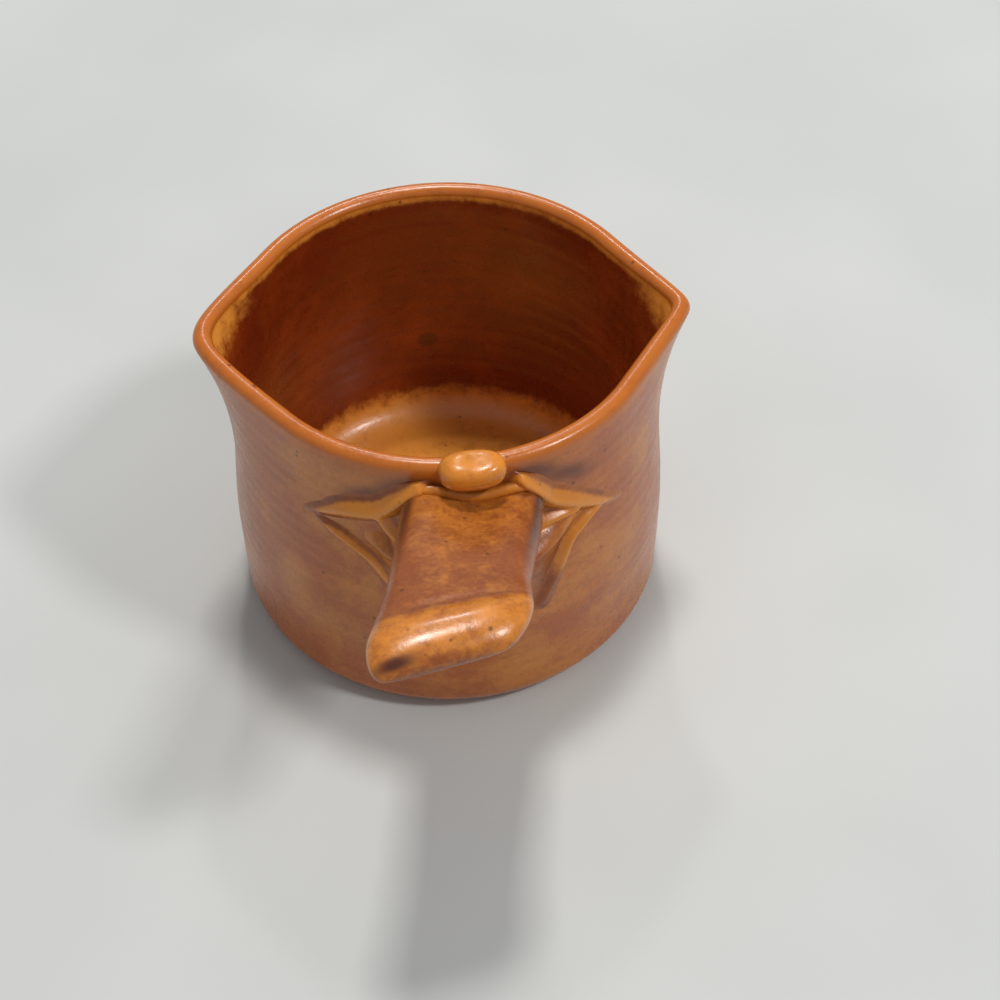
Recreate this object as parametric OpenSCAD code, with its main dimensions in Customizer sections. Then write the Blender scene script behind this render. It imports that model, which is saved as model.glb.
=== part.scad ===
// Butter warmer: a thrown stoneware pan with two pulled pouring lips. A strap
// handle is luted to the wall just under the rim, with wads of clay drawn out
// beside and below the joint and a flattened ball of clay pressed on the rim.
// The foot rests on Z = 0, +Z is up and the handle is rooted on the -Y side.
// All lengths are in millimetres and all angles in degrees.

/* [Bowl] */
// Height of the rim above the flat foot
bowl_h = 76; // [60:0.5:92]
// Outer diameter at the rim, away from the lips
rim_d = 91.5; // [75:0.5:112]
// Greatest outer diameter, low on the wall
belly_d = 98.5; // [80:0.5:120]
// Height at which the belly is widest
belly_z = 20.5; // [16:0.5:26]
// How far under the rim the wall reaches its full width
neck_drop = 6.5; // [4:0.5:16]
// Diameter of the flat foot
foot_d = 83; // [66:0.5:88]
// Height of the rounded corner between foot and wall
corner_h = 6.2; // [4:0.1:9]
// Thickness of the rounded rim
rim_t = 4.1; // [3:0.1:5.5]
// Thickness of the wall at the belly
wall_t = 4.8; // [3.5:0.1:6.5]
// Thickness of the floor
floor_t = 5.5; // [4:0.1:8]
// Radius of the hollow where the floor turns up into the wall
fillet_r = 9; // [6:0.5:12]

/* [Pouring lips] */
// How far the left lip is pulled out past the rim
left_lip_reach = 7.1; // [4:0.1:10]
// How far the right lip is pulled out past the rim
right_lip_reach = 6.9; // [4:0.1:10]
// How far the right lip is turned towards the handle
right_lip_turn = 5; // [0:5:15]
// Half angle of the rounded tip of the left lip
left_lip_round = 7.5; // [3:0.5:12]
// Half angle of the rounded tip of the right lip
right_lip_round = 2.5; // [1:0.5:12]
// How much higher the tip of the left lip stands than the rim
left_lip_rise = 1; // [0:0.1:5]
// How much higher the tip of the right lip stands than the rim
right_lip_rise = 0.6; // [0:0.1:5]
// How far down the wall a lip is felt
lip_depth = 35; // [26:0.5:42]
// How quickly a lip fades into the wall below it
lip_fade = 2; // [1.5:0.1:3]

/* [Strap handle] */
// How far the strap's top lies under the rim where it meets the wall
strap_drop = 6; // [5:0.1:9]
// Level length of the strap from the wall to its end
strap_len = 49.5; // [40:0.5:62]
// Width of the strap at the wall
strap_w = 28.2; // [22:0.5:34]
// Width of the strap where it is narrowest
strap_waist_w = 26.6; // [20:0.5:32]
// Width of the thumb stop at the strap's end
strap_end_w = 28.9; // [22:0.5:35]
// Thickness of the strap at the wall
strap_t = 14; // [11:0.1:17]
// Thickness of the strap where it is narrowest
strap_waist_t = 10.4; // [8:0.1:13]
// Thickness of the strap's rolled end
strap_end_t = 9; // [7:0.1:12]
// How steeply the strap climbs away from the wall
strap_rise = 14; // [0:1:22]
// How far the strap swings off square towards the left lip
strap_swing = 13; // [0:1:18]
// How far the strap is twisted at the wall, with its left edge up
strap_twist = 6; // [0:1:12]
// Depth of the thumb valley along the strap's top at the wall
valley_d = 2.8; // [0:0.1:3.5]
// Height of the thumb stop over the strap's top
stop_h = 1.2; // [0:0.1:3]
// How far the strap's end is rolled down
roll_drop = 1.5; // [0:0.1:4]

/* [Luting clay] */
// Radius of the coil pressed into the corner over the strap
coil_r = 1.3; // [1.1:0.1:2]
// Angle round the wall from the strap's middle to the left wad's tip
left_wad_angle = 46; // [36:1:50]
// Angle round the wall from the strap's middle to the right wad's tip
right_wad_angle = 44; // [36:1:50]
// How far the left wad's tip lies under the rim
left_wad_drop = 22; // [18:0.5:26]
// How far the right wad's tip lies under the rim
right_wad_drop = 27; // [18:0.5:29]
// How far the crest of a side wad stands off the wall
wad_h = 3.2; // [2.2:0.1:4.5]
// How far under the rim the gusset below the strap ends
gusset_drop = 48; // [42:0.5:53]
// How far the gusset reaches out under the strap
gusset_reach = 13; // [9:0.5:17]

/* [Rim ball] */
// Width of the flattened ball along the rim
ball_w = 13.4; // [10:0.2:17]
// Thickness of the flattened ball, measured outwards
ball_t = 8.2; // [6:0.2:11]
// Height of the flattened ball
ball_h = 7; // [5:0.2:9]
// How far the ball stands up over the rim
ball_rise = 2; // [1:0.1:3]

/* [Hidden] */

// Segments round the bowl, and the angle that one takes
turns = 72;
step_a = 360 / turns;
// Rows up the bottom corner, the wall, the rim's roll and the inner hollow
corner_rows = 5;
wall_rows = 14;
roll_rows = 8;
hollow_rows = 5;
// How deep the luted pieces reach into the wall before they are cut to it
sink = 1.8;
// Least size of a section where a piece runs out to a point
point = 0.35;

rim_r = rim_d / 2;
belly_r = belly_d / 2;
foot_r = foot_d / 2;
rim_c = bowl_h - rim_t / 2;
neck_z = bowl_h - neck_drop;
handle_a = 270;
left_lip_a = 180;
right_lip_a = 360 - right_lip_turn;

// An even curve from 0 to 1, flat at both ends
function ease(t) = let (u = min(1, max(0, t))) u * u * (3 - 2 * u);
function mix(a, b, t) = a + (b - a) * t;
// The drop of a quarter circle at k of its width, both taken as 1
function quarter(k) = 1 - sqrt(max(0, 1 - k * k));

// Outer radius of the wall at height z, lips left out
function wall_r(z) =
    mix(rim_r, belly_r, ease((neck_z - z) / (neck_z - belly_z)))
    - (belly_r - foot_r) * quarter(max(0, 1 - z / corner_h));
// Radius of the hollow inside at height z
function inner_r(z) =
    wall_r(max(z, corner_h)) - mix(rim_t, wall_t, ease((rim_c - z) / (rim_c - belly_z)))
    - fillet_r * quarter(max(0, 1 - (z - floor_t) / fillet_r));

// The outer half of the bowl's section, from the foot's edge up to the crest of the rim
outer_section = concat(
    [for (i = [0 : corner_rows - 1]) let (z = corner_h * (1 - cos(90 * i / corner_rows))) [wall_r(z), z]],
    [for (i = [0 : wall_rows]) let (z = mix(corner_h, rim_c, i / wall_rows)) [wall_r(z), z]],
    [for (i = [1 : roll_rows / 2]) let (a = 180 * i / roll_rows)
        [rim_r - rim_t / 2 * (1 - cos(a)), rim_c + rim_t / 2 * sin(a)]]
);
// The inner half, from just past the crest down to the edge of the floor
inner_section = concat(
    [for (i = [roll_rows / 2 + 1 : roll_rows - 1]) let (a = 180 * i / roll_rows)
        [rim_r - rim_t / 2 * (1 - cos(a)), rim_c + rim_t / 2 * sin(a)]],
    [for (i = [0 : wall_rows]) let (z = mix(rim_c, floor_t + fillet_r, i / wall_rows)) [inner_r(z), z]],
    [for (i = [1 : hollow_rows]) let (z = floor_t + fillet_r * (1 - sin(90 * i / hollow_rows))) [inner_r(z), z]]
);

// How far a lip with its tip at angle tip_a pushes the rim out at angle a. Away
// from the rounded tip the rim runs straight, touching the circle it came from.
function off_tip(a, tip_a) = abs(((a - tip_a + 540) % 360) - 180);
function lip_push(a, tip_a, reach, round_a) =
    let (
        spread = acos(rim_r / (rim_r + reach)) + round_a,
        off = min(spread, sqrt(pow(off_tip(a, tip_a), 2) + pow(round_a, 2)))
    ) rim_r / cos(spread - off) - rim_r;
// Share of a lip's pull that is left at height z
function lip_share(z) = pow(max(0, min(1, 1 - (rim_c - z) / lip_depth)), lip_fade);
function left_push(a) = lip_push(a, left_lip_a, left_lip_reach, left_lip_round);
function right_push(a) = lip_push(a, right_lip_a, right_lip_reach, right_lip_round);
function bowl_point(p, a) =
    let (
        share = lip_share(p[1]),
        r = p[0] + share * (left_push(a) + right_push(a)),
        lift = left_lip_rise * left_push(a) / left_lip_reach + right_lip_rise * right_push(a) / right_lip_reach
    ) [r * cos(a), r * sin(a), p[1] + share * lift];

// A closed solid through rings that all have the same even number of points. Its
// two end rings are closed by strips between the points that face each other.
module skin(rings) {
    n = len(rings[0]);
    last = (len(rings) - 1) * n;
    half = n / 2;
    sides = [for (i = [0 : len(rings) - 2]) for (j = [0 : n - 1])
        let (a = i * n + j, b = i * n + (j + 1) % n) each [[a, a + n, b], [b, a + n, b + n]]];
    first_cap = [for (k = [0 : half - 2]) each
        [[k, k + 1, n - 1 - k], [k + 1, n - 2 - k, n - 1 - k]]];
    last_cap = [for (k = [0 : half - 2]) each
        [[last + k, last + n - 1 - k, last + k + 1], [last + k + 1, last + n - 1 - k, last + n - 2 - k]]];
    polyhedron(points = [for (r = rings) each r], faces = concat(sides, first_cap, last_cap));
}

// The filled sector of the bowl behind the handle, as far as the crest of the rim.
// The luted pieces are cut by it, so that they lie face to face with the wall.
module wall_core() {
    reach = 60;
    rows = [for (p = outer_section) if (p[1] > belly_z - corner_h) p];
    n = floor(2 * reach / step_a) + 1;
    hub = belly_r / 3;
    skin([for (p = rows) concat(
        [for (j = [0 : n - 1]) let (a = handle_a - reach + j * step_a) [p[0] * cos(a), p[0] * sin(a), p[1]]],
        [for (j = [n - 1 : -1 : 0]) let (a = handle_a - reach + j * step_a) [hub * cos(a), hub * sin(a), p[1]]]
    )]);
}

// A point that stands h off the wall, at angle a from the strap's middle and height z
function on_wall(a, z, h) = [(wall_r(z) + h) * sin(a), -(wall_r(z) + h) * cos(a), z];

// The strap. Each station is an upright section, square to the strap's run.
stations = 13;
cap_stations = 7;
strap_sides = 24;
cap_len = 10.8;
cap_corner = 5.3;
skew_end = -23;
root_z = bowl_h - strap_drop;
root_y = -wall_r(root_z);
waist_u = 0.54;
stop_u = 0.85;
lead_in = 5;

function strap_run(u, root, waist, end) = u < waist_u
    ? mix(root, waist, ease(u / waist_u))
    : mix(waist, end, ease((u - waist_u) / (stop_u - waist_u)));
function strap_width(s) = strap_run(s / strap_len, strap_w, strap_waist_w, strap_end_w);
function strap_thick(s) = strap_run(s / strap_len, strap_t, strap_waist_t, strap_end_t);
function strap_top(s) = let (u = s / strap_len)
    root_z + s * tan(strap_rise) + stop_h * ease((u - waist_u) / (stop_u - waist_u))
    - roll_drop * pow(max(0, (u - 0.8) / 0.2), 2);
// Signed power, which squares up a round section
function bulge(v, e) = sign(v) * pow(abs(v), e);
// The section's outline at angle t: sideways x and height over the section's middle
function strap_outline(s, t, closing) =
    let (
        u = s / strap_len,
        x = bulge(cos(t), 0.62) * (strap_width(s) / 2 - cap_corner * (1 - closing)),
        valley = sin(t) > 0 ? valley_d * (1 - ease(u / 0.6)) * exp(-pow(x / (0.27 * strap_width(s)), 2)) : 0
    ) [x, bulge(sin(t), 0.8) * strap_thick(s) / 2 * closing - valley];
// One section, twisted, set off along the run and swung round with the strap
function strap_ring(s, closing) = [for (i = [0 : strap_sides - 1])
    let (
        o = strap_outline(s, 360 * (i + 0.5) / strap_sides, closing),
        twist = strap_twist * (1 - ease(s / strap_len)),
        x = o[0] * cos(twist) + o[1] * sin(twist),
        rise = o[1] * cos(twist) - o[0] * sin(twist),
        run = s + tan(skew_end) * x * ease(s / strap_len)
    ) [x * cos(strap_swing) - run * sin(strap_swing),
       root_y - x * sin(strap_swing) - run * cos(strap_swing),
       strap_top(s) - strap_thick(s) / 2 + rise]];

module strap_form() {
    body_len = strap_len - cap_len;
    skin(concat(
        [for (i = [0 : stations]) strap_ring(mix(-lead_in, body_len, i / stations), 1)],
        [for (i = [1 : cap_stations]) let (k = sin(90 * i / cap_stations))
            strap_ring(body_len + cap_len * k, max(0.06, sqrt(1 - k * k)))]
    ));
}

// The coil over the strap follows the strap's own top edge along the wall
coil_turns = 24;
coil_sides = 10;
coil_lift = 0.8;
coil_span = 76;
function coil_spot(t) =
    let (
        o = strap_outline(0, t, 1),
        x = o[0] * cos(strap_twist) + o[1] * sin(strap_twist),
        z = root_z - strap_t / 2 + o[1] * cos(strap_twist) - o[0] * sin(strap_twist) + coil_lift
    ) [asin(x / wall_r(z)), z];
function coil_ring(i) =
    let (
        t = 90 + coil_span * (1 - 2 * i / coil_turns),
        here = coil_spot(t),
        ahead = coil_spot(t - 0.5),
        r = coil_r * (0.35 + 0.65 * ease(min(i, coil_turns - i) / 4)),
        run = atan2(ahead[1] - here[1], (ahead[0] - here[0]) * wall_r(here[1]) * PI / 180)
    ) [for (j = [0 : coil_sides - 1]) let (
        b = 360 * (j + 0.5) / coil_sides,
        across = r * cos(b),
        z = here[1] + across * cos(run),
        a = here[0] - across * sin(run) / wall_r(here[1]) * 180 / PI
    ) on_wall(a, z, 0.4 * coil_r + r * sin(b))];

module coil_form() {
    skin([for (i = [0 : coil_turns]) coil_ring(i)]);
}

// A side wad runs from beside the strap's shoulder, over a bend, out to a point on the
// wall. A shorter arm turns back from the bend to the strap's lower corner. Each is a
// ridge through spots of [angle, height, crest, half width].
ridge_steps = 10;
shoulder_in = 3.5;
shoulder_drop = 5.6;
wad_root_a = asin((strap_w / 2 - shoulder_in) / rim_r);
// The lower arm starts just inside the strap's side
arm_in = 1;
arm_root_a = asin((strap_w / 2 - arm_in) / rim_r);
// The strap's twist lifts its left shoulder, and the wad beside it, and drops the right one
function wad_start_z(side) =
    root_z - shoulder_drop - side * (strap_w / 2 - shoulder_in) * sin(strap_twist);
function wad_bend_a(tip_a) = mix(wad_root_a, tip_a, 0.29);
function wad_bend_z(side, tip_z) = mix(wad_start_z(side), tip_z, 0.4);
function ridge_ring(s) =
    let (profile = [0, 0.55, 1, 0.55, 0])
    concat(
        [for (k = [0 : 4]) on_wall(s[0], s[1] + s[3] * (k / 2 - 1), profile[k] * s[2])],
        [for (k = [4 : -1 : 0]) on_wall(s[0], s[1] + s[3] * (k / 2 - 1), -sink)]
    );
function ridge_spot(spots, t) =
    let (n = len(spots) - 1, i = min(n - 1, floor(t * n)), f = t * n - i)
    [for (c = [0 : 3]) mix(spots[i][c], spots[i + 1][c], f)];

module wad_form(side, tip_a, tip_drop) {
    tip_z = bowl_h - tip_drop;
    bend_a = wad_bend_a(tip_a);
    bend_z = wad_bend_z(side, tip_z);
    low_z = root_z - strap_t + 2;
    main_run = [
        [side * wad_root_a, wad_start_z(side), wad_h + 0.8, 2.4],
        [side * bend_a, bend_z, wad_h, 3.2],
        [side * tip_a, tip_z, point, point]
    ];
    low_arm = [
        [side * arm_root_a, low_z, wad_h * 0.9, 2.2],
        [side * bend_a, bend_z - 1, wad_h * 0.8, 1.6]
    ];
    for (spots = [main_run, low_arm]) {
        rings = [for (i = [0 : ridge_steps]) ridge_ring(ridge_spot(spots, i / ridge_steps))];
        skin(side < 0 ? rings : [for (i = [ridge_steps : -1 : 0]) rings[i]]);
    }
}

// The gusset is a wad drawn down the wall under the strap. It starts inside the
// strap's depth, spreads into a wing under each side wad and runs down to a point.
gusset_rows = 12;
gusset_cols = 20;
gusset_neck_a = 11;
gusset_web_a = 24;
gusset_edge = 1.8;
gusset_top = root_z - strap_t - 0.5;
gusset_end = bowl_h - gusset_drop;
function wing_a(tip_a) = tip_a - 5;
function wing_z(side, tip_a, tip_drop) =
    let (tip_z = bowl_h - tip_drop, bend_a = wad_bend_a(tip_a))
    mix(wad_bend_z(side, tip_z), tip_z, (wing_a(tip_a) - bend_a) / (tip_a - bend_a)) - 1.8;
function gusset_half(u, tip_a) =
    max(1, gusset_web_a * sqrt(max(0, 1 - u * u)) + (wing_a(tip_a) - gusset_web_a) * pow(1 - u, 8));
// A ring at share u of the way down. Rings with u under 0 are the neck in the strap.
function gusset_ring(u) =
    let (
        down = sin(90 * max(0, u)),
        neck = u < 0,
        left_a = neck ? gusset_neck_a : gusset_half(down, left_wad_angle),
        right_a = neck ? gusset_neck_a : gusset_half(down, right_wad_angle),
        left_z = neck ? gusset_top - 9 * u : mix(wing_z(-1, left_wad_angle, left_wad_drop), gusset_end, down),
        right_z = neck ? gusset_top - 9 * u : mix(wing_z(1, right_wad_angle, right_wad_drop), gusset_end, down),
        mid_z = neck ? gusset_top - 9 * u : mix(gusset_top, gusset_end, down),
        reach = mix(gusset_reach, point, pow(down, 0.8)),
        edge = mix(gusset_edge, point, down),
        spots = [for (j = [0 : gusset_cols]) let (
            c = 2 * j / gusset_cols - 1,
            side_a = c < 0 ? left_a : right_a,
            side_z = c < 0 ? left_z : right_z,
            out = pow(abs(c), 1.4),
            web = cos(90 * min(1, out * side_a / gusset_web_a))
        ) [sign(c) * out * side_a, mix(mid_z, side_z, out), edge + max(0, reach - edge) * web * web]]
    ) concat(
        [for (s = spots) on_wall(s[0], s[1], s[2])],
        [for (j = [gusset_cols : -1 : 0]) on_wall(spots[j][0], spots[j][1], -sink)]
    );

module gusset_form() {
    skin([for (i = [gusset_rows : -1 : -1]) gusset_ring(i / gusset_rows * (i < 0 ? 5 : 1))]);
}

// The bowl: one thrown lump of clay with its floor, its wall and its two lips
module bowl() {
    section = concat(outer_section, inner_section);
    n = len(section);
    color("#9c6a4c")
    polyhedron(
        points = [for (p = section) for (j = [0 : turns - 1]) bowl_point(p, j * step_a)],
        faces = concat(
            [[for (j = [0 : turns - 1]) j]],
            [[for (j = [turns - 1 : -1 : 0]) (n - 1) * turns + j]],
            [for (i = [0 : n - 2]) for (j = [0 : turns - 1])
                let (a = i * turns + j, b = i * turns + (j + 1) % turns)
                each [[a, a + turns, b], [b, a + turns, b + turns]]]
        )
    );
}

module handle() {
    color("#b06a33") difference() {
        strap_form();
        wall_core();
    }
}

module gusset() {
    color("#a56437") difference() {
        gusset_form();
        wall_core();
        strap_form();
    }
}

module left_wad() {
    color("#c98238") difference() {
        wad_form(-1, left_wad_angle, left_wad_drop);
        wall_core();
        strap_form();
        gusset_form();
    }
}

module right_wad() {
    color("#c98238") difference() {
        wad_form(1, right_wad_angle, right_wad_drop);
        wall_core();
        strap_form();
        gusset_form();
    }
}

module joint_coil() {
    color("#d08a3e") difference() {
        coil_form();
        wall_core();
        strap_form();
        wad_form(-1, left_wad_angle, left_wad_drop);
        wad_form(1, right_wad_angle, right_wad_drop);
    }
}

module ball_form() {
    translate([0, -(rim_r - 0.3), bowl_h + ball_rise - ball_h / 2])
        resize([ball_w, ball_t, ball_h]) sphere(d = ball_w, $fn = 24);
}

module rim_ball() {
    color("#c78443") difference() {
        ball_form();
        wall_core();
        strap_form();
        coil_form();
    }
}

bowl();
handle();
rim_ball();
joint_coil();
left_wad();
right_wad();
gusset();
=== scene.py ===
"""Looks of a hand-thrown stoneware butter warmer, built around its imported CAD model.

Shapes are worked out in millimetres, in the CAD frame: +Z up, the foot's centre at the origin, the
strap rooted on the -Y side. Meshes are written in metres. Every surface is a closed skin over rings.
"""
import bpy
import numpy as np
from mathutils import Matrix

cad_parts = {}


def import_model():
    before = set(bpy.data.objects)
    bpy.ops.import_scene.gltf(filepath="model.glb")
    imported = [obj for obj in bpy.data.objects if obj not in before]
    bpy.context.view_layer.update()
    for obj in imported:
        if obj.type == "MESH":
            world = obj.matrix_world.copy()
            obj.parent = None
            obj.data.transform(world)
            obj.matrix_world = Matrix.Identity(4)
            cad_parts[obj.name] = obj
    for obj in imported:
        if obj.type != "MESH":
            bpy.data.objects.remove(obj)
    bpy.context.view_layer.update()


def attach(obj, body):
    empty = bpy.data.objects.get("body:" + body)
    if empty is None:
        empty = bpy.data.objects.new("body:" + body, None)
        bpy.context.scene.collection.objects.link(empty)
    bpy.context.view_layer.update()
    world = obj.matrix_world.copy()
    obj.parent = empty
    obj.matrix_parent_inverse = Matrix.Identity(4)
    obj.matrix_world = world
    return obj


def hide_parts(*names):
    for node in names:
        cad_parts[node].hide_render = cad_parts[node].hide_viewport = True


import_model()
MM = 0.001

# The pan
bowl_h = 76.0
rim_r = 45.75
belly_r = 49.25
belly_z = 20.5
neck_z = bowl_h - 6.5
foot_r = 41.5
corner_h = 6.2
rim_t = 4.1
wall_t = 4.8
floor_t = 5.5
fillet_r = 9.0
rim_c = bowl_h - rim_t / 2
lip_depth = 35.0
lip_fade = 2.0
# Each lip: angle of its tip, reach, half angle of the rounded tip, rise at the tip
lips = [(180.0, 7.1, 7.5, 1.0), (355.0, 6.9, 2.5, 0.6)]

# The strap handle
strap_len = 49.5
strap_rise = 14.0
strap_swing = 13.0
strap_twist = 6.0
skew_end = -23.0
root_z = bowl_h - 6.0
strap_t = 14.0
waist_u = 0.54
stop_u = 0.85
stop_h = 1.2
roll_drop = 1.5
valley_d = 2.8
cap_len = 10.8
cap_corner = 5.3
lead_in = 3.4

# The flattened ball on the rim
ball_size = (13.4, 8.2, 7.0)
ball_rise = 2.0


def ease(t):
    """An even curve from 0 to 1, flat at both ends: u squared times 3 minus 2u."""
    u = np.clip(t, 0, 1)
    return u * u * (3 - 2 * u)


def mix(a, b, t):
    return a + (b - a) * t


def quarter(k):
    """The drop of a quarter circle at k of its width, both taken as 1."""
    return 1 - np.sqrt(np.maximum(0, 1 - k * k))


def wall_radius(z):
    """Outer radius of the wall: an eased run from belly to rim, less the rounded bottom corner."""
    full = mix(rim_r, belly_r, ease((neck_z - z) / (neck_z - belly_z)))
    return full - (belly_r - foot_r) * quarter(np.maximum(0, 1 - z / corner_h))


def inner_radius(z):
    """Radius of the hollow: the wall less its thickness, less the fillet over the floor."""
    thick = mix(rim_t, wall_t, ease((rim_c - z) / (rim_c - belly_z)))
    fillet = fillet_r * quarter(np.clip(1 - (z - floor_t) / fillet_r, 0, 1))
    return wall_radius(np.maximum(z, corner_h)) - thick - fillet


def bulge(v, e):
    """Signed power, which squares up a round section."""
    return np.sign(v) * np.abs(v) ** e


def smooth_waves(a, z, seed, turns, heights):
    """Low waves round and up a surface: a sum of sines with whole numbers of turns and seeded phases."""
    random = np.random.default_rng(seed)
    total = np.zeros(np.broadcast(a, z).shape)
    for n in turns:
        for h in heights:
            phase = random.uniform(0, 2 * np.pi, 2)
            total += np.sin(n * np.radians(a) + phase[0]) * np.sin(2 * np.pi * z / h + phase[1])
    return total / (len(turns) * len(heights))


def skin(name, rings, masks, material, nodes):
    """A closed skin over rings: quads between neighbours and a fan from the middle of each end ring.

    rings is rows by points by 3, in millimetres, and masks maps an attribute's name to rows by points.
    """
    rows, n = rings.shape[:2]
    ends = np.stack([rings[0].mean(0), rings[-1].mean(0)])
    points = np.concatenate([rings.reshape(-1, 3), ends]) * MM
    i, j = np.meshgrid(np.arange(rows - 1), np.arange(n), indexing="ij")
    a = (i * n + j).ravel()
    b = (i * n + (j + 1) % n).ravel()
    quads = np.stack([a, b, b + n, a + n], 1)
    around = np.arange(n)
    beside = (around + 1) % n
    last = (rows - 1) * n
    first_fan = np.stack([beside, around, np.full(n, rows * n)], 1)
    last_fan = np.stack([last + around, last + beside, np.full(n, rows * n + 1)], 1)
    corners = points[quads]
    swept = np.cross(corners[:, 1] - corners[:, 0], corners[:, 2] - corners[:, 0])
    swept += np.cross(corners[:, 2] - corners[:, 0], corners[:, 3] - corners[:, 0])
    centred = corners.mean(1) - points.mean(0)
    if (swept * centred).sum() < 0:
        quads, first_fan, last_fan = quads[:, ::-1], first_fan[:, ::-1], last_fan[:, ::-1]
    mesh = bpy.data.meshes.new(name)
    mesh.from_pydata(points.tolist(), [], quads.tolist() + first_fan.tolist() + last_fan.tolist())
    mesh.polygons.foreach_set("use_smooth", np.ones(len(mesh.polygons), bool))
    for key in ("thin_and_sheen", "pool_and_shade", "inside", "bare"):
        values = masks.get(key, np.zeros((rows, n)))
        values = np.broadcast_to(values, (rows, n))
        flat = np.concatenate([values.ravel(), [values[0].mean(), values[-1].mean()]])
        layer = mesh.attributes.new(key, "FLOAT", "POINT")
        layer.data.foreach_set("value", np.clip(flat, 0, 1).astype(np.float32))
    mesh.materials.append(material)
    piece = bpy.data.objects.new(name, mesh)
    bpy.context.scene.collection.objects.link(piece)
    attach(piece, "root")
    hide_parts(*nodes)
    return piece


def new_socket_group(name, inputs, outputs):
    """An empty node group with its input and output nodes, from lists of (name, kind)."""
    group = bpy.data.node_groups.new(name, "ShaderNodeTree")
    for label, kind in inputs:
        group.interface.new_socket(name=label, in_out="INPUT", socket_type=kind)
    for label, kind in outputs:
        group.interface.new_socket(name=label, in_out="OUTPUT", socket_type=kind)
    return group, group.nodes.new("NodeGroupInput"), group.nodes.new("NodeGroupOutput")


def noise(tree, where, scale, detail, roughness=0.55):
    node = tree.nodes.new("ShaderNodeTexNoise")
    node.inputs["Scale"].default_value = scale
    node.inputs["Detail"].default_value = detail
    node.inputs["Roughness"].default_value = roughness
    tree.links.new(where, node.inputs["Vector"])
    return node.outputs["Fac"]


def math(tree, operation, a, b):
    """One Math node on two values, each a number or a socket."""
    node = tree.nodes.new("ShaderNodeMath")
    node.operation = operation
    for socket, value in zip(node.inputs, (a, b)):
        if isinstance(value, (int, float)):
            socket.default_value = value
        else:
            tree.links.new(value, socket)
    return node.outputs[0]


def ramp(tree, value, low, high, to_low=0.0, to_high=1.0):
    """A smooth step of value from low to high."""
    node = tree.nodes.new("ShaderNodeMapRange")
    node.interpolation_type = "SMOOTHSTEP"
    tree.links.new(value, node.inputs["Value"])
    for label, number in (("From Min", low), ("From Max", high), ("To Min", to_low), ("To Max", to_high)):
        node.inputs[label].default_value = number
    return node.outputs["Result"]


def blend_colour(tree, factor, a, b):
    """Colour a where factor is 0 and colour b where it is 1. Each is a socket or a colour."""
    node = tree.nodes.new("ShaderNodeMix")
    node.data_type = "RGBA"
    tree.links.new(factor, node.inputs["Factor"])
    for socket, value in zip((node.inputs[6], node.inputs[7]), (a, b)):
        if isinstance(value, tuple):
            socket.default_value = (*value, 1.0)
        else:
            tree.links.new(value, socket)
    return node.outputs[2]


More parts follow.
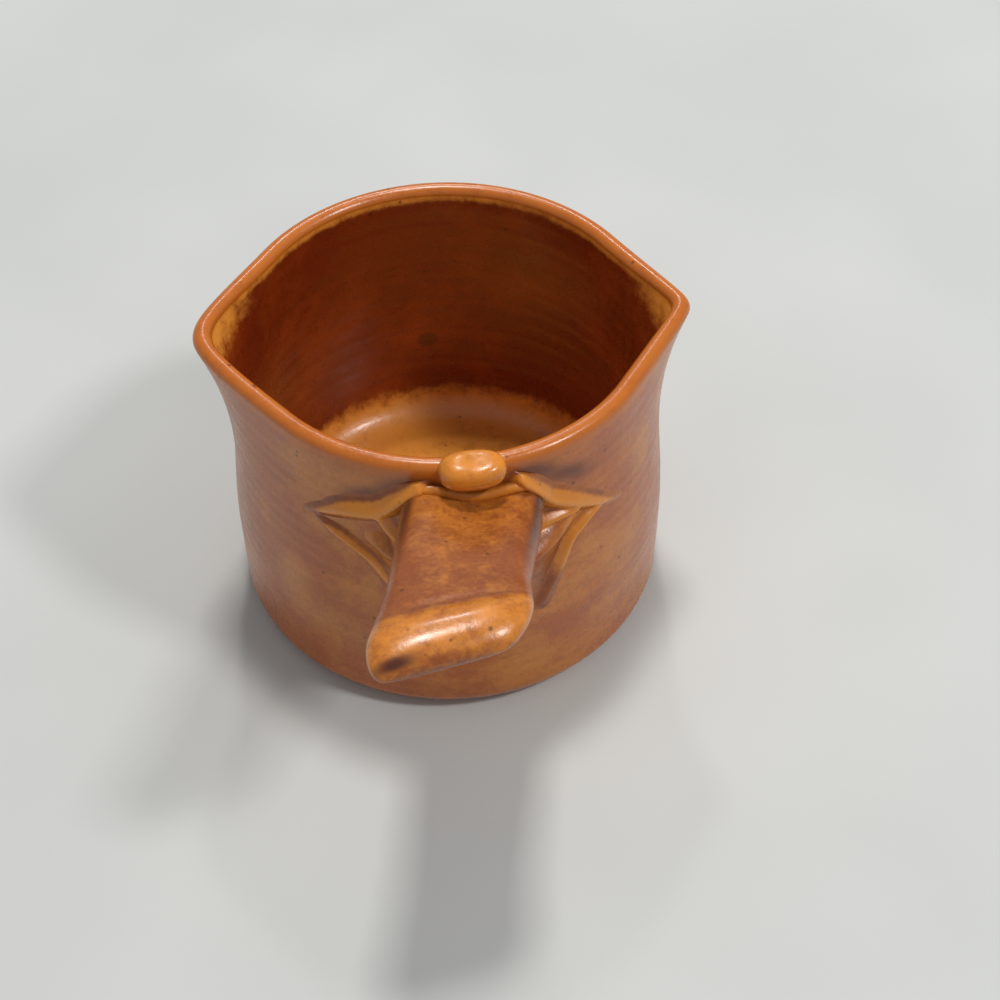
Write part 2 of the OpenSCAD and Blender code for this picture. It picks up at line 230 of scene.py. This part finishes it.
def iron_glaze_group():
    """The glaze: clouds and fine mottling in the body, a honey colour where it breaks thin over edges and
    where sheen is painted, dark red-brown where it pools and where shade is painted, iron specks, faint
    throwing lines and a slightly rippled skin."""
    inputs = [("Body", "NodeSocketColor"), ("Cloud", "NodeSocketColor"), ("Break", "NodeSocketColor"),
              ("Depth", "NodeSocketColor"), ("Thin_and_sheen", "NodeSocketFloat"), ("Pool_and_shade", "NodeSocketFloat")]
    outputs = [("Color", "NodeSocketColor"), ("Roughness", "NodeSocketFloat"), ("Height", "NodeSocketFloat")]
    tree, given, result = new_socket_group("iron_glaze", inputs, outputs)
    where = tree.nodes.new("ShaderNodeTexCoord").outputs["Object"]
    clouds = noise(tree, where, 55, 4)
    mottle = noise(tree, where, 260, 5, 0.65)
    fine = noise(tree, where, 1100, 3, 0.6)
    stretch = tree.nodes.new("ShaderNodeMapping")
    stretch.inputs["Scale"].default_value = (14, 14, 420)
    tree.links.new(where, stretch.inputs["Vector"])
    lines = noise(tree, stretch.outputs["Vector"], 1.0, 3)

    cloud_mask = ramp(tree, math(tree, "ADD", clouds, math(tree, "MULTIPLY", mottle, 0.35)), 0.58, 0.86)
    body = blend_colour(tree, cloud_mask, given.outputs["Body"], given.outputs["Cloud"])
    dusk = ramp(tree, math(tree, "ADD", fine, math(tree, "MULTIPLY", lines, 0.8)), 0.62, 1.15, 0.30, 0.0)
    body = blend_colour(tree, dusk, body, given.outputs["Depth"])

    breakup = math(tree, "ADD", math(tree, "MULTIPLY", math(tree, "SUBTRACT", mottle, 0.5), 1.0),
                   math(tree, "MULTIPLY", math(tree, "SUBTRACT", fine, 0.5), 0.3))
    thin_edge = math(tree, "ADD", given.outputs["Thin_and_sheen"], math(tree, "MULTIPLY", breakup, 1.3))
    thin_near = ramp(tree, given.outputs["Thin_and_sheen"], 0.0, 0.2)
    thin_and_sheen = math(tree, "MULTIPLY", ramp(tree, thin_edge, 0.05, 0.95), thin_near)
    colour = blend_colour(tree, thin_and_sheen, body, given.outputs["Break"])
    pool_edge = math(tree, "ADD", given.outputs["Pool_and_shade"], math(tree, "MULTIPLY", breakup, 0.45))
    pool_near = ramp(tree, given.outputs["Pool_and_shade"], 0.0, 0.25)
    pool_and_shade = math(tree, "MULTIPLY", ramp(tree, pool_edge, 0.1, 0.9), pool_near)
    colour = blend_colour(tree, pool_and_shade, colour, given.outputs["Depth"])

    speck = tree.nodes.new("ShaderNodeTexVoronoi")
    speck.inputs["Scale"].default_value = 420
    tree.links.new(where, speck.inputs["Vector"])
    split = tree.nodes.new("ShaderNodeSeparateColor")
    tree.links.new(speck.outputs["Color"], split.inputs["Color"])
    chosen = ramp(tree, split.outputs["Red"], 0.90, 0.93)
    dot = math(tree, "MULTIPLY", ramp(tree, speck.outputs["Distance"], 0.10, 0.25, 1.0, 0.0), chosen)
    colour = blend_colour(tree, math(tree, "MULTIPLY", dot, 0.65), colour, (0.045, 0.014, 0.006))

    tree.links.new(colour, result.inputs["Color"])
    tree.links.new(ramp(tree, mottle, 0.25, 0.8, 0.22, 0.38), result.inputs["Roughness"])
    height = math(tree, "ADD", math(tree, "MULTIPLY", fine, 0.35), math(tree, "MULTIPLY", mottle, 0.6))
    height = math(tree, "ADD", height, math(tree, "MULTIPLY", lines, 0.8))
    tree.links.new(height, result.inputs["Height"])
    return tree


glaze_group = iron_glaze_group()


def attribute(tree, name):
    node = tree.nodes.new("ShaderNodeAttribute")
    node.attribute_name = name
    return node.outputs["Fac"]


def glaze_material(name, body, cloud, thin_and_sheen, depth, inside=None):
    """A glossy glaze. inside, where given, holds the body and cloud colours of the pan's hollow."""
    material = bpy.data.materials.new(name)
    material.use_nodes = True
    tree = material.node_tree
    shader = tree.nodes["Principled BSDF"]
    glaze = tree.nodes.new("ShaderNodeGroup")
    glaze.node_tree = glaze_group
    for label, colour in (("Body", body), ("Cloud", cloud), ("Break", thin_and_sheen), ("Depth", depth)):
        glaze.inputs[label].default_value = (*colour, 1.0)
    tree.links.new(attribute(tree, "thin_and_sheen"), glaze.inputs["Thin_and_sheen"])
    tree.links.new(attribute(tree, "pool_and_shade"), glaze.inputs["Pool_and_shade"])
    colour = glaze.outputs["Color"]
    if inside:
        mask = attribute(tree, "inside")
        for label, outer, inner in zip(("Body", "Cloud", "Break"), (body, cloud, thin_and_sheen), inside):
            tree.links.new(blend_colour(tree, mask, outer, inner), glaze.inputs[label])
        colour = blend_colour(tree, attribute(tree, "bare"), colour, (0.36, 0.22, 0.13))
    tree.links.new(colour, shader.inputs["Base Color"])
    tree.links.new(glaze.outputs["Roughness"], shader.inputs["Roughness"])
    bump = tree.nodes.new("ShaderNodeBump")
    bump.inputs["Distance"].default_value = 0.00022
    bump.inputs["Strength"].default_value = 0.55
    tree.links.new(glaze.outputs["Height"], bump.inputs["Height"])
    tree.links.new(bump.outputs["Normal"], shader.inputs["Normal"])
    shader.inputs["IOR"].default_value = 1.52
    shader.inputs["Coat Weight"].default_value = 0.12
    shader.inputs["Coat Roughness"].default_value = 0.12
    return material


honey = (0.74, 0.255, 0.024)
dark_red = (0.085, 0.018, 0.005)
warm_red = (0.15, 0.030, 0.005)
# The hollow's break colour, (0.95, 0.37, 0.055), is brighter than the outer one: a honey partly raised as
# painted sheen for the light the floor reflects.
pan_glaze = glaze_material("pan_glaze", (0.46, 0.112, 0.018), (0.60, 0.205, 0.030), (0.56, 0.145, 0.009),
                           warm_red, inside=((0.22, 0.026, 0.004), (0.33, 0.052, 0.006), (0.95, 0.37, 0.055)))
strap_glaze = glaze_material("strap_glaze", (0.33, 0.085, 0.018), (0.46, 0.145, 0.027), honey, dark_red)
luting_glaze = glaze_material("luting_glaze", (0.50, 0.145, 0.018), (0.30, 0.070, 0.010), honey, warm_red)


def lip_push(a, tip, reach, round_a):
    """How far a lip pushes the rim out at angle a. Away from the rounded tip the rim runs straight,
    touching the circle that it came from: radius over the cosine of the angle to the touching point."""
    spread = np.degrees(np.arccos(rim_r / (rim_r + reach))) + round_a
    off = np.abs((a - tip + 540) % 360 - 180)
    off = np.minimum(spread, np.sqrt(off ** 2 + round_a ** 2))
    return rim_r / np.cos(np.radians(spread - off)) - rim_r


def pan():
    """The pan: one profile of radius and height, carried round. The lips push it out near the rim,
    and the thrower's finger leaves shallow rings inside and fainter ones outside."""
    outer_z = np.concatenate([corner_h * (1 - np.cos(np.linspace(0, np.pi / 2, 14)))[:-1],
                              np.linspace(corner_h, rim_c, 98)])
    roll = np.linspace(0, np.pi, 19)[1:-1]
    inner_z = np.linspace(rim_c, floor_t + fillet_r, 92)
    hollow_z = floor_t + fillet_r * (1 - np.sin(np.linspace(0, np.pi / 2, 16)[1:]))
    base_r = np.linspace(2, foot_r, 14)[:-1]
    floor_r = np.linspace(inner_radius(np.array(floor_t)), 0.4, 26)[1:]
    radius = np.concatenate([base_r, wall_radius(outer_z), rim_r - rim_t / 2 * (1 - np.cos(roll)),
                             inner_radius(inner_z), inner_radius(hollow_z), floor_r])
    height = np.concatenate([0 * base_r, outer_z, rim_c + rim_t / 2 * np.sin(roll),
                             inner_z, hollow_z, 0 * floor_r + floor_t])
    parts = [len(run) for run in (base_r, outer_z, roll, inner_z, hollow_z, floor_r)]
    base, outer, rolled, inner, hollow, floor = [
        np.repeat(np.arange(6) == k, parts).astype(float)[:, None] for k in range(6)]
    a = np.arange(0, 360, 1.0)[None, :]
    r, z = radius[:, None], height[:, None]
    lift = 0
    share = np.clip(1 - (rim_c - z) / lip_depth, 0, 1) ** lip_fade * (1 - floor) * (1 - base)
    push = 0
    for tip, reach, round_a, rise in lips:
        moved = lip_push(a, tip, reach, round_a)
        push = push + moved
        lift = lift + rise * moved / reach
    away = np.clip((rim_c - z) / 8, 0, 1)
    turn = a / 360
    rings_in = 0.045 * np.sin(2 * np.pi * (z / 5.2 + turn))
    rings_in = rings_in + 0.02 * np.sin(2 * np.pi * (z / 2.7 - 2 * turn))
    rings_out = 0.03 * np.sin(2 * np.pi * (z / 3.4 + a / 360)) * np.clip((z - 4) / 8, 0, 1)
    lumps = 0.10 * smooth_waves(a, z, 4, (2, 3, 5, 7), (31, 52))
    r = r + share * push + (inner + hollow) * rings_in * away + outer * (rings_out + lumps) * away
    z = z + share * lift + floor * 0.14 * np.sin(2 * np.pi * (radius[:, None] / 6.5 + a / 360))
    x, y = r * np.cos(np.radians(a)), r * np.sin(np.radians(a))
    rings = np.stack([x, y, z + 0 * a], 2)

    under = rim_c + share * lift - z
    wave = 0.8 * smooth_waves(a, z, 9, (3, 5, 8, 13), (400,))
    band = np.maximum(rolled, outer * ease(1 - (under + wave) / 3.6))
    band = 0.72 * np.maximum(band, inner * ease(1 - (under - 0.2) / 1.8))
    lip_inside = inner * ease(1 - under / 9) * ease(push / 5.5) * 0.9
    # Painted sheen with thin glaze: the floor and the fillet round it go honey, as a stand-in for the light
    # they reflect, with less honey at a spot near the middle.
    honey_floor_and_sheen = floor * (1.0 - 0.55 * np.exp(-((x - 6) ** 2 + (y - 14) ** 2) / 190))
    honey_floor_and_sheen = np.maximum(honey_floor_and_sheen, hollow * 0.95 * ease((fillet_r + floor_t - z) / 7.0))
    crests = outer * 0.22 * ease((14 - z) / 9)
    beside = np.abs((a - 270 + 540) % 360 - 180)
    # Painted shade with pooled glaze: dark red-brown under the rim either side of the strap's root and the
    # ball, and over the ears.
    joint_pool_and_shade = outer * np.exp(-((beside - 13) / 8.5) ** 2) * np.exp(-((z - 70.5) / 3.2) ** 2)
    pool_and_shade_over_ears = np.exp(-((beside - 27) / 9) ** 2) * np.exp(-((z - 66 + (beside - 27) / 4) / 3.0) ** 2)
    joint_pool_and_shade = joint_pool_and_shade + outer * 0.8 * pool_and_shade_over_ears
    spot = inner * np.exp(-(((a - 89.7) * 0.72) ** 2 + (z - 28) ** 2) / 2.6)
    masks = {"thin_and_sheen": np.maximum(np.maximum(band, lip_inside), np.maximum(honey_floor_and_sheen, crests)),
             "pool_and_shade": np.clip(joint_pool_and_shade * 0.9 + spot * 4, 0, 1),
             "inside": np.maximum(inner, np.maximum(hollow, floor)) + 0 * a,
             "bare": base * (r < foot_r - 1.2)}
    return skin("pan", rings, masks, pan_glaze, ["bowl"])


def strap_rings(t, s, closing):
    """Sections of the strap: a squared-up round, with a thumb valley at the wall, twisted, skewed
    towards the end and swung round. t is the angle round the section, s the run from the wall.

    Where s is below 0, each point goes on from s = 0 against the strap's run, by a share of the way to
    the middle of the wall's thickness, so that the root neither stops short nor comes through.
    """
    share_in = np.maximum(0, -s / lead_in)
    s = np.maximum(0, s)
    u = s / strap_len
    to_end = ease((u - waist_u) / (stop_u - waist_u))
    to_waist = ease(u / waist_u)
    width = np.where(u < waist_u, mix(28.2, 26.6, to_waist), mix(26.6, 28.9, to_end))
    thick = np.where(u < waist_u, mix(strap_t, 10.4, to_waist), mix(10.4, 9.0, to_end))
    top = root_z + s * np.tan(np.radians(strap_rise)) + stop_h * to_end
    top = top - roll_drop * np.maximum(0, (u - 0.8) / 0.2) ** 2
    x = bulge(np.cos(t), 0.62) * (width / 2 - cap_corner * (1 - closing))
    valley = (np.sin(t) > 0) * valley_d * (1 - ease(u / 0.6)) * np.exp(-(x / (0.27 * width)) ** 2)
    crease = (np.sin(t) > 0) * 0.5 * np.exp(-((u - 0.74) / 0.045) ** 2) * np.exp(-(x / 12) ** 4)
    rise = bulge(np.sin(t), 0.8) * thick / 2 * closing - valley - crease
    twist = np.radians(strap_twist) * (1 - ease(u))
    across = x * np.cos(twist) + rise * np.sin(twist)
    up = rise * np.cos(twist) - x * np.sin(twist)
    run = s + np.tan(np.radians(skew_end)) * across * ease(u)
    swing = np.radians(strap_swing)
    px = across * np.cos(swing) - run * np.sin(swing)
    py = -wall_radius(np.array(root_z)) - across * np.sin(swing) - run * np.cos(swing)
    pz = top - thick / 2 + up
    middle_r = wall_radius(pz) - 2.2
    along = px * np.sin(swing) + py * np.cos(swing)
    to_wall = -along - np.sqrt(np.maximum(0, along ** 2 - px ** 2 - py ** 2 + middle_r ** 2))
    px = px + share_in * to_wall * np.sin(swing)
    py = py + share_in * to_wall * np.cos(swing)
    return np.stack([px, py, pz], 2)


def strap():
    """The strap handle, with its end rounded off along a quarter circle."""
    body_len = strap_len - cap_len
    k = np.sin(np.linspace(0, np.pi / 2, 46)[1:])
    s = np.concatenate([np.linspace(-lead_in, body_len, 150), body_len + cap_len * k])[:, None]
    closing = np.concatenate([np.ones(150), np.maximum(0.02, np.sqrt(1 - np.minimum(1, k) ** 2))])[:, None]
    t = 2 * np.pi * (np.arange(220) + 0.5)[None, :] / 220
    rings = strap_rings(t, s, closing)
    u = s / strap_len
    side = np.cos(t) + 0 * s
    upper = (np.sin(t) > 0) + 0 * s
    stop = ease((u - 0.70) / 0.10) * (1 - 0.5 * ease((u - 0.96) / 0.04))
    # Painted sheen: the middle of the strap's top goes lighter, as a stand-in for the pale reflection on its
    # glaze, fading to half by the middle of the strap's run.
    middle = 0.34 * upper * (1 - side ** 2) * (1 - 0.5 * ease(u / 0.5))
    shoulders = 0.75 * upper * np.exp(-((np.abs(side) - 0.86) / 0.16) ** 2) * (1 - ease((u - 0.1) / 0.6))
    # Painted shade with pooled glaze: dark brown on the end's rounded underside, towards its left side.
    tip_pool_and_shade = 0.9 * np.exp(-((closing - 0.55) / 0.22) ** 2) * ease((u - 0.9) / 0.05)
    tip_pool_and_shade = tip_pool_and_shade * np.exp(-((side + 0.6) / 0.45) ** 2)
    crease = 0.35 * np.exp(-((u - 0.735) / 0.02) ** 2) * upper
    masks = {"thin_and_sheen": np.maximum(stop * (0.30 + 0.30 * upper), middle),
             "pool_and_shade": np.clip(shoulders + tip_pool_and_shade + crease, 0, 1)}
    return skin("strap", rings, masks, strap_glaze, ["handle"])


# Ridges of drawn-out clay on the wall, each through spots of angle, height, crest and half width
ridges = [
    [(-13, 70.4, 2.3, 1.8), (-18, 67.2, 2.6, 1.7), (-23.3, 62.6, 2.6, 2.1), (-32, 60.9, 2.0, 2.1),
     (-37, 58.8, 1.3, 1.6), (-41, 57.0, 0.8, 1.2), (-48, 54.2, 0.0, 1.0)],
    [(-23.3, 62.0, 2.3, 1.5), (-20.5, 57.2, 2.0, 1.3), (-16, 53.6, 2.0, 1.3)],
    [(-43, 54.6, 0.0, 0.9), (-37, 53.6, 1.2, 1.2), (-32.6, 52.1, 1.5, 1.3), (-28.6, 50.1, 1.5, 1.3),
     (-25.6, 48.0, 1.3, 1.3), (-22, 43.6, 1.0, 1.4), (-17, 37.0, 0.9, 1.6)],
    [(12, 70.0, 2.2, 1.6), (16.2, 66.4, 2.5, 1.6), (19.6, 62.6, 2.6, 1.8), (24.8, 59.6, 2.4, 2.0),
     (29.3, 57.0, 2.0, 1.7), (35.6, 53.6, 1.3, 1.4), (41.4, 50.9, 0.5, 1.1), (46, 49.0, 0.0, 1.0)],
    [(14, 56.0, 2.0, 1.3), (19.8, 56.6, 2.1, 1.2), (27, 56.6, 2.0, 1.4)],
    [(36.5, 52.6, 0.8, 1.1), (32.1, 52.3, 1.6, 1.2), (29.1, 51.0, 1.9, 1.3), (25.4, 49.6, 2.2, 1.4),
     (22.8, 44.5, 2.2, 1.5), (20.2, 39.2, 1.6, 1.5), (17, 33.0, 0.9, 1.6)],
]
arc_r = 46.3


def cut_corners(spots):
    """One round of corner cutting: each inner run is kept from a quarter to three quarters of its way."""
    spots = np.array(spots, float)
    near = mix(spots[:-1], spots[1:], 0.25)
    far = mix(spots[:-1], spots[1:], 0.75)
    middle = np.stack([near, far], 1).reshape(-1, 4)
    return np.concatenate([spots[:1], middle[1:-1], spots[-1:]])


def relief(a, z):
    """Height of the drawn-out clay over the wall, with masks of its crests and hollows.

    Each ridge falls off from its line as a bell curve, and the gusset's body swells under the strap.
    The ridges and the body join as the fourth root of a sum of fourth powers, which rounds the corners.
    """
    s = np.radians(a) * arc_r
    total = np.zeros(np.broadcast(a, z).shape)
    crest = total.copy()
    for spots in ridges:
        spots = cut_corners(cut_corners(spots))
        best = total * 0
        for (a0, z0, h0, w0), (a1, z1, h1, w1) in zip(spots[:-1], spots[1:]):
            s0, s1 = np.radians(a0) * arc_r, np.radians(a1) * arc_r
            span = (s1 - s0) ** 2 + (z1 - z0) ** 2
            k = np.clip(((s - s0) * (s1 - s0) + (z - z0) * (z1 - z0)) / span, 0, 1)
            d2 = (s - mix(s0, s1, k)) ** 2 + (z - mix(z0, z1, k)) ** 2
            best = np.maximum(best, mix(h0, h1, k) * np.exp(-d2 / mix(w0, w1, k) ** 2))
        total = total + best ** 4
        crest = np.maximum(crest, best)
    edge = np.interp(z, [29, 35, 39, 45, 50, 53, 58], [5, 14.5, 16.5, 18.6, 20.5, 23, 23])
    reach = 11 * np.clip((z - 29) / 27, 0, 1.1) ** 1.5
    body = reach * np.clip(1 - (s / edge) ** 2, 0, 1) ** 1.3 * (1 - ease((z - 52.5) / 4.5))
    return (total + body ** 4) ** 0.25, crest, body


def groove(a):
    """Height of the groove between the side wads and the gusset at angle a."""
    left = np.interp(a, [-50, -40, -36, -31.6, -26.2, -21, -12], [54.4, 55.9, 55.4, 54.6, 53.6, 52.2, 51.6])
    right = np.interp(a, [12, 18.2, 21.5, 25.7, 29.6, 36, 50], [49.0, 52.2, 53.0, 53.4, 53.6, 53.2, 49.6])
    return np.where(a < 0, left, right)


def clay_on_wall(name, a, low, high, rows, sink_top, node):
    """A patch of the relief between two heights, as a closed skin with its back inside the wall."""
    k = np.linspace(0, 1, rows)[None, :]
    z = mix(low[:, None], high[:, None], k)
    angle = a[:, None] + 0 * z
    height, crest, body = relief(angle, z)
    height = height * mix(1, ease((np.abs(angle) - 7) / 6), ease((z - 62) / 4))
    height = height - 0.10 - sink_top * np.clip(k - 0.97, 0, 1)
    height = np.concatenate([height, np.full_like(height, -1.4)], 1)
    z = np.concatenate([z, z[:, ::-1]], 1)
    angle = np.concatenate([angle, angle], 1)
    r = wall_radius(z) + height
    rings = np.stack([r * np.sin(np.radians(angle)), -r * np.cos(np.radians(angle)), z], 2)
    # Painted shade with pooled glaze: the hollows along the ridges' flanks go darker.
    hollow = np.exp(-((crest - 0.3) / 0.28) ** 2) * ease((np.abs(angle[:, :rows]) - 12) / 3)
    hollow = hollow * (1 - ease((np.abs(angle[:, :rows]) - 36) / 6)) * ease((z[:, :rows] - 44) / 5)
    thin_and_sheen = ease((crest - 0.3) / 0.9) * ease((z[:, :rows] - 38) / 8)
    ear = np.exp(-((z[:, :rows] - groove(angle[:, :rows]) - 0.5) / 4.0) ** 2)
    thin_and_sheen = np.maximum(thin_and_sheen, 0.6 * ear * np.exp(-((np.abs(angle[:, :rows]) - 27) / 8.5) ** 2))
    masks = {"thin_and_sheen": np.concatenate([thin_and_sheen, thin_and_sheen[:, ::-1] * 0], 1),
             "pool_and_shade": np.concatenate([0.4 * hollow, hollow[:, ::-1] * 0], 1)}
    return skin(name, rings, masks, luting_glaze, [node])


def wads_and_gusset():
    """The two side wads from the groove up, and the gusset from the groove down."""
    left = np.linspace(-50, -8, 200)
    left_top = np.interp(left, [-50, -23, -8], [59, 69.5, 73.4])
    clay_on_wall("left_wad_clay", left, groove(left), left_top, 90, 0, "left_wad")
    right = np.linspace(8, 49, 200)
    right_top = np.interp(right, [8, 24, 49], [73.4, 67, 55])
    clay_on_wall("right_wad_clay", right, groove(right), right_top, 90, 0, "right_wad")
    both = np.linspace(-46, 46, 300)
    top = mix(58, groove(both) + 0.6, ease((np.abs(both) - 11) / 4))
    low = np.interp(np.abs(both), [0, 18, 26, 46], [27, 29, 41, 50])
    clay_on_wall("gusset_clay", both, low, top, 120, 12, "gusset")


def coil():
    """The coil in the corner over the strap: a tube along the strap's top edge, flattened on the wall."""
    t = np.radians(90 + 76 * np.linspace(1, -1, 120))
    path = np.empty((120, 2))
    path[:, 0] = bulge(np.cos(t), 0.62) * 14.1
    path[:, 1] = bulge(np.sin(t), 0.8) * 7 - valley_d * np.exp(-(path[:, 0] / 7.6) ** 2)
    twist = np.radians(strap_twist)
    x = path[:, 0] * np.cos(twist) + path[:, 1] * np.sin(twist)
    z = root_z - 7 + path[:, 1] * np.cos(twist) - path[:, 0] * np.sin(twist) + 0.8
    along = np.stack([np.gradient(x), np.gradient(z)], 1)
    along = along / np.linalg.norm(along, axis=1)[:, None]
    taper = 0.55 + 0.45 * ease(np.minimum(np.arange(120), 119 - np.arange(120)) / 20)
    b = 2 * np.pi * np.arange(36)[None, :] / 36
    r = (1.25 * taper)[:, None]
    cx = x[:, None] - along[:, 1:] * r * np.cos(b)
    cz = z[:, None] + along[:, :1] * r * np.cos(b)
    angle = np.arcsin(cx / wall_radius(cz))
    out = wall_radius(cz) + 0.45 + r * np.sin(b)
    rings = np.stack([out * np.sin(angle), -out * np.cos(angle), cz], 2)
    masks = {"thin_and_sheen": 0.75 * ease(np.sin(b) + 0.4) + 0 * rings[..., 0]}
    return skin("coil_over_strap", rings, masks, luting_glaze, ["joint_coil"])


def ball():
    """The ball: a squared-up ellipsoid, pressed a little flat on top and dented by a thumb."""
    v = np.radians(np.linspace(-89, 89, 90))[:, None]
    w = 2 * np.pi * np.arange(120)[None, :] / 120
    x = bulge(np.cos(v), 0.7) * bulge(np.cos(w), 0.8) * ball_size[0] / 2
    y = bulge(np.cos(v), 0.7) * bulge(np.sin(w), 0.8) * ball_size[1] / 2
    z = bulge(np.sin(v), 0.9) * ball_size[2] / 2 + 0 * w
    dent = 0.8 * np.exp(-((x - 1) ** 2 + (y + 1) ** 2) / 12) * (z > 0)
    lump = 1 + 0.02 * np.sin(3 * w + 1) * np.cos(2 * v)
    skirt = ease((-z - 0.6) / 2.2)
    z = z - dent + bowl_h + ball_rise - ball_size[2] / 2
    rings = np.stack([x * lump, y * lump - (rim_r - 0.3), z], 2)
    masks = {"thin_and_sheen": 0.8 - 0.5 * skirt + 0 * x, "pool_and_shade": 0.85 * skirt}
    return skin("ball_on_rim", rings, masks, luting_glaze, ["rim_ball"])


def floor():
    """A plain pale floor."""
    mesh = bpy.data.meshes.new("floor")
    size = 3.0
    corners = [(-size, -size, 0), (size, -size, 0), (size, size, 0), (-size, size, 0)]
    mesh.from_pydata(corners, [], [(0, 1, 2, 3)])
    material = bpy.data.materials.new("pale_cloth")
    material.use_nodes = True
    tree = material.node_tree
    shader = tree.nodes["Principled BSDF"]
    where = tree.nodes.new("ShaderNodeTexCoord").outputs["Object"]
    shade = ramp(tree, noise(tree, where, 9, 2), 0.3, 0.7)
    cloth = blend_colour(tree, shade, (0.60, 0.62, 0.61), (0.645, 0.665, 0.655))
    tree.links.new(cloth, shader.inputs["Base Color"])
    shader.inputs["Roughness"].default_value = 0.75
    mesh.materials.append(material)
    plane = bpy.data.objects.new("floor", mesh)
    bpy.context.scene.collection.objects.link(plane)


def lamp(name, azimuth, elevation, distance, size, watts, colour):
    """A square soft lamp that points at the middle of the pan, from an azimuth counted from +X."""
    data = bpy.data.lights.new(name, "AREA")
    data.size = size
    data.energy = watts
    data.color = colour
    az, el = np.radians(azimuth), np.radians(elevation)
    out = np.array([np.cos(az) * np.cos(el), np.sin(az) * np.cos(el), np.sin(el)])
    side = np.cross([0, 0, 1], out)
    side = side / np.linalg.norm(side)
    turn = Matrix(np.stack([side, np.cross(out, side), out], 1).tolist()).to_4x4()
    obj = bpy.data.objects.new(name, data)
    obj.matrix_world = Matrix.Translation((out * distance + [0, 0, 0.04]).tolist()) @ turn
    bpy.context.scene.collection.objects.link(obj)


def world():
    """Even pale light. The camera sees it as pale as the floor."""
    scene_world = bpy.data.worlds.new("studio")
    bpy.context.scene.world = scene_world
    scene_world.use_nodes = True
    tree = scene_world.node_tree
    sky = tree.nodes["Background"]
    seen = tree.nodes.new("ShaderNodeLightPath").outputs["Is Camera Ray"]
    tree.links.new(blend_colour(tree, seen, (0.33, 0.335, 0.34), (0.63, 0.65, 0.64)), sky.inputs["Color"])


def camera():
    """The photograph's camera. It looks down on the pan from the handle's side, turned so that the
    aim point falls off the middle of the frame, and rolled a little."""
    frame_px = 1000.0
    focal_px = 1700.0
    aim_px = (450.2, 438.5)
    aim = np.array([0, 0, 36.8])
    distance = 389.3
    elevation = np.radians(45.67)
    heading = np.radians(5.6)
    roll = np.radians(-2.1)
    back = np.array([0, -np.cos(elevation), np.sin(elevation)])
    right = np.array([1.0, 0, 0])
    looking = np.stack([right, np.cross(-back, right), -back])
    d = np.array([(aim_px[0] - frame_px / 2) / focal_px, (aim_px[1] - frame_px / 2) / focal_px, 1.0])
    d = d / np.linalg.norm(d)
    v = np.cross([0, 0, 1.0], d)
    cross = np.array([[0, -v[2], v[1]], [v[2], 0, -v[0]], [-v[1], v[0], 0]])
    offset = np.eye(3) + cross + cross @ cross / (1 + d[2])
    rolled = np.array([[np.cos(roll), -np.sin(roll), 0], [np.sin(roll), np.cos(roll), 0], [0, 0, 1]])
    cos_h, sin_h = np.cos(heading), np.sin(heading)
    turned = np.array([[cos_h, -sin_h, 0], [sin_h, cos_h, 0], [0, 0, 1]])
    axes = rolled @ offset @ looking @ turned
    place = turned.T @ (aim + distance * back) * MM
    data = bpy.data.cameras.new("camera")
    data.lens = 36.0 * focal_px / frame_px
    data.sensor_width = 36.0
    obj = bpy.data.objects.new("camera", data)
    turn = Matrix(np.stack([axes[0], -axes[1], -axes[2]], 1).tolist()).to_4x4()
    obj.matrix_world = Matrix.Translation(place.tolist()) @ turn
    bpy.context.scene.collection.objects.link(obj)
    bpy.context.scene.camera = obj


pan()
strap()
wads_and_gusset()
coil()
ball()
floor()
world()
camera()
lamp("overhead", 82, 77, 1.5, 0.22, 10, (1.0, 0.97, 0.93))
lamp("side", -31, 51, 1.5, 0.20, 7.0, (1.0, 0.98, 0.96))
lamp("behind", 85, 46, 1.6, 0.10, 2.5, (1.0, 1.0, 1.0))
bpy.context.scene.view_settings.view_transform = "Standard"
